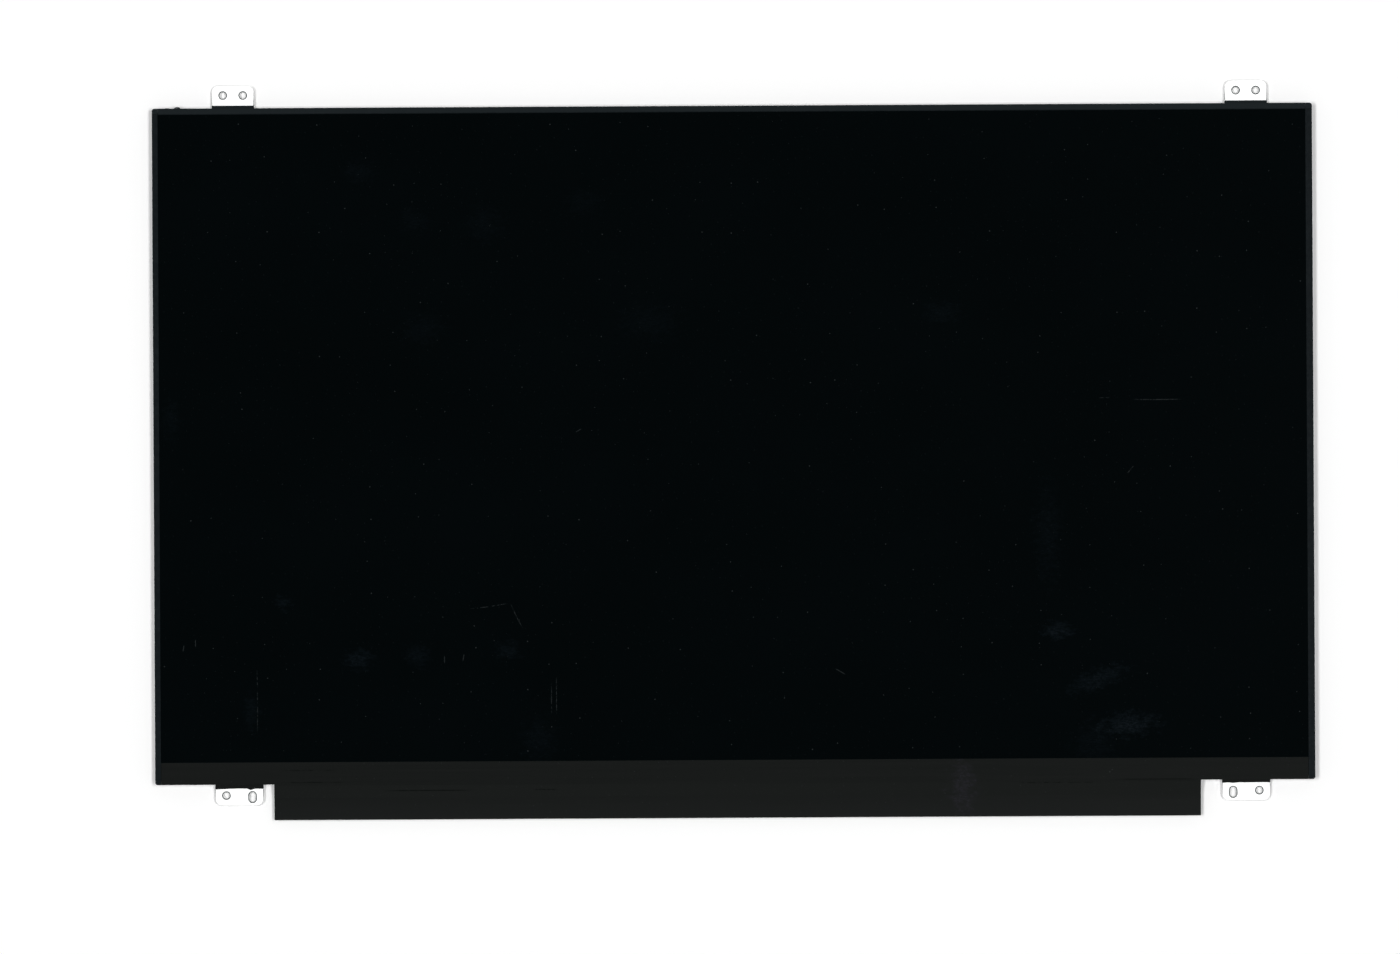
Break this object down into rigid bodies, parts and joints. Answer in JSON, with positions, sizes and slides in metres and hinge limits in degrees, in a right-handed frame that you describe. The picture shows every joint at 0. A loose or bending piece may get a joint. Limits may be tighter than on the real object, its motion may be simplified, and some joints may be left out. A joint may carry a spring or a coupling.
{
  "type": "laptop screen panel",
  "caption": "Thin flat display panel with a glossy black face, taped rim, sheet-metal mounting tabs, layered backlight and a film-covered driver board along its lower edge.",
  "frame": {"origin": "middle of the panel's outline (without brackets and board) on the rear face of the back plate", "axes": "+X to the right and +Y to the top as the viewer sees the screen, +Z out of the screen"},
  "size_m": [0.3594, 0.2279, 0.0032],
  "materials": {
    "black_polarizer": "glossy black film",
    "grey_polarizer": "dark grey film",
    "cell_glass": "thin clear glass",
    "adhesive_tape": "black adhesive foam",
    "clear_sheet": "clear acrylic sheet",
    "white_sheet": "white film",
    "amber_flex": "amber flexible circuit",
    "led_body": "white moulded resin",
    "black_moulding": "black moulded plastic",
    "plate_aluminium": "satin rolled sheet",
    "black_tape": "black tape",
    "black_film": "matt black film",
    "board_laminate": "green varnished laminate",
    "chip_resin": "black moulded resin",
    "chip_silicon": "bare silicon",
    "coil_ferrite": "grey ferrite",
    "capacitor_ceramic": "tan ceramic with tinned ends",
    "socket_plastic": "ivory moulded plastic",
    "socket_steel": "tinned steel sheet",
    "contact_gold": "gold plated",
    "bracket_steel": "bright satin steel"
  },
  "bodies": {
    "root": {"array_glass": "cell_glass", "back_plate": "plate_aluminium", "backlight_chip": "chip_resin", "board_flex_1": "amber_flex", "board_flex_2": "amber_flex", "board_flex_3": "amber_flex", "board_flex_4": "amber_flex", "bracket_bottom_left": "bracket_steel", "bracket_bottom_right": "bracket_steel", "bracket_top_left": "bracket_steel", "bracket_top_right": "bracket_steel", "capacitors": "capacitor_ceramic", "cell_tape": "adhesive_tape", "diffuser_sheet": "white_sheet", "driver_board": "board_laminate", "driver_chip_1": "chip_silicon", "driver_chip_2": "chip_silicon", "driver_chip_3": "chip_silicon", "driver_chip_4": "chip_silicon", "filter_glass": "cell_glass", "front_cover_film": "black_film", "front_polarizer": "black_polarizer", "leds": "led_body", "left_edge_tape": "black_tape", "light_guide": "clear_sheet", "light_strip": "amber_flex", "lower_prism_sheet": "clear_sheet", "memory_chip": "chip_resin", "mould_frame": "black_moulding", "power_chip": "chip_resin", "power_coils": "coil_ferrite", "rear_polarizer": "grey_polarizer", "reflector_sheet": "white_sheet", "resistors": "chip_resin", "right_edge_tape": "black_tape", "socket_contacts": "contact_gold", "socket_housing": "socket_plastic", "socket_shell": "socket_steel", "timing_chip": "chip_resin", "top_edge_tape": "black_tape", "upper_prism_sheet": "clear_sheet"}
  },
  "joints": []
}
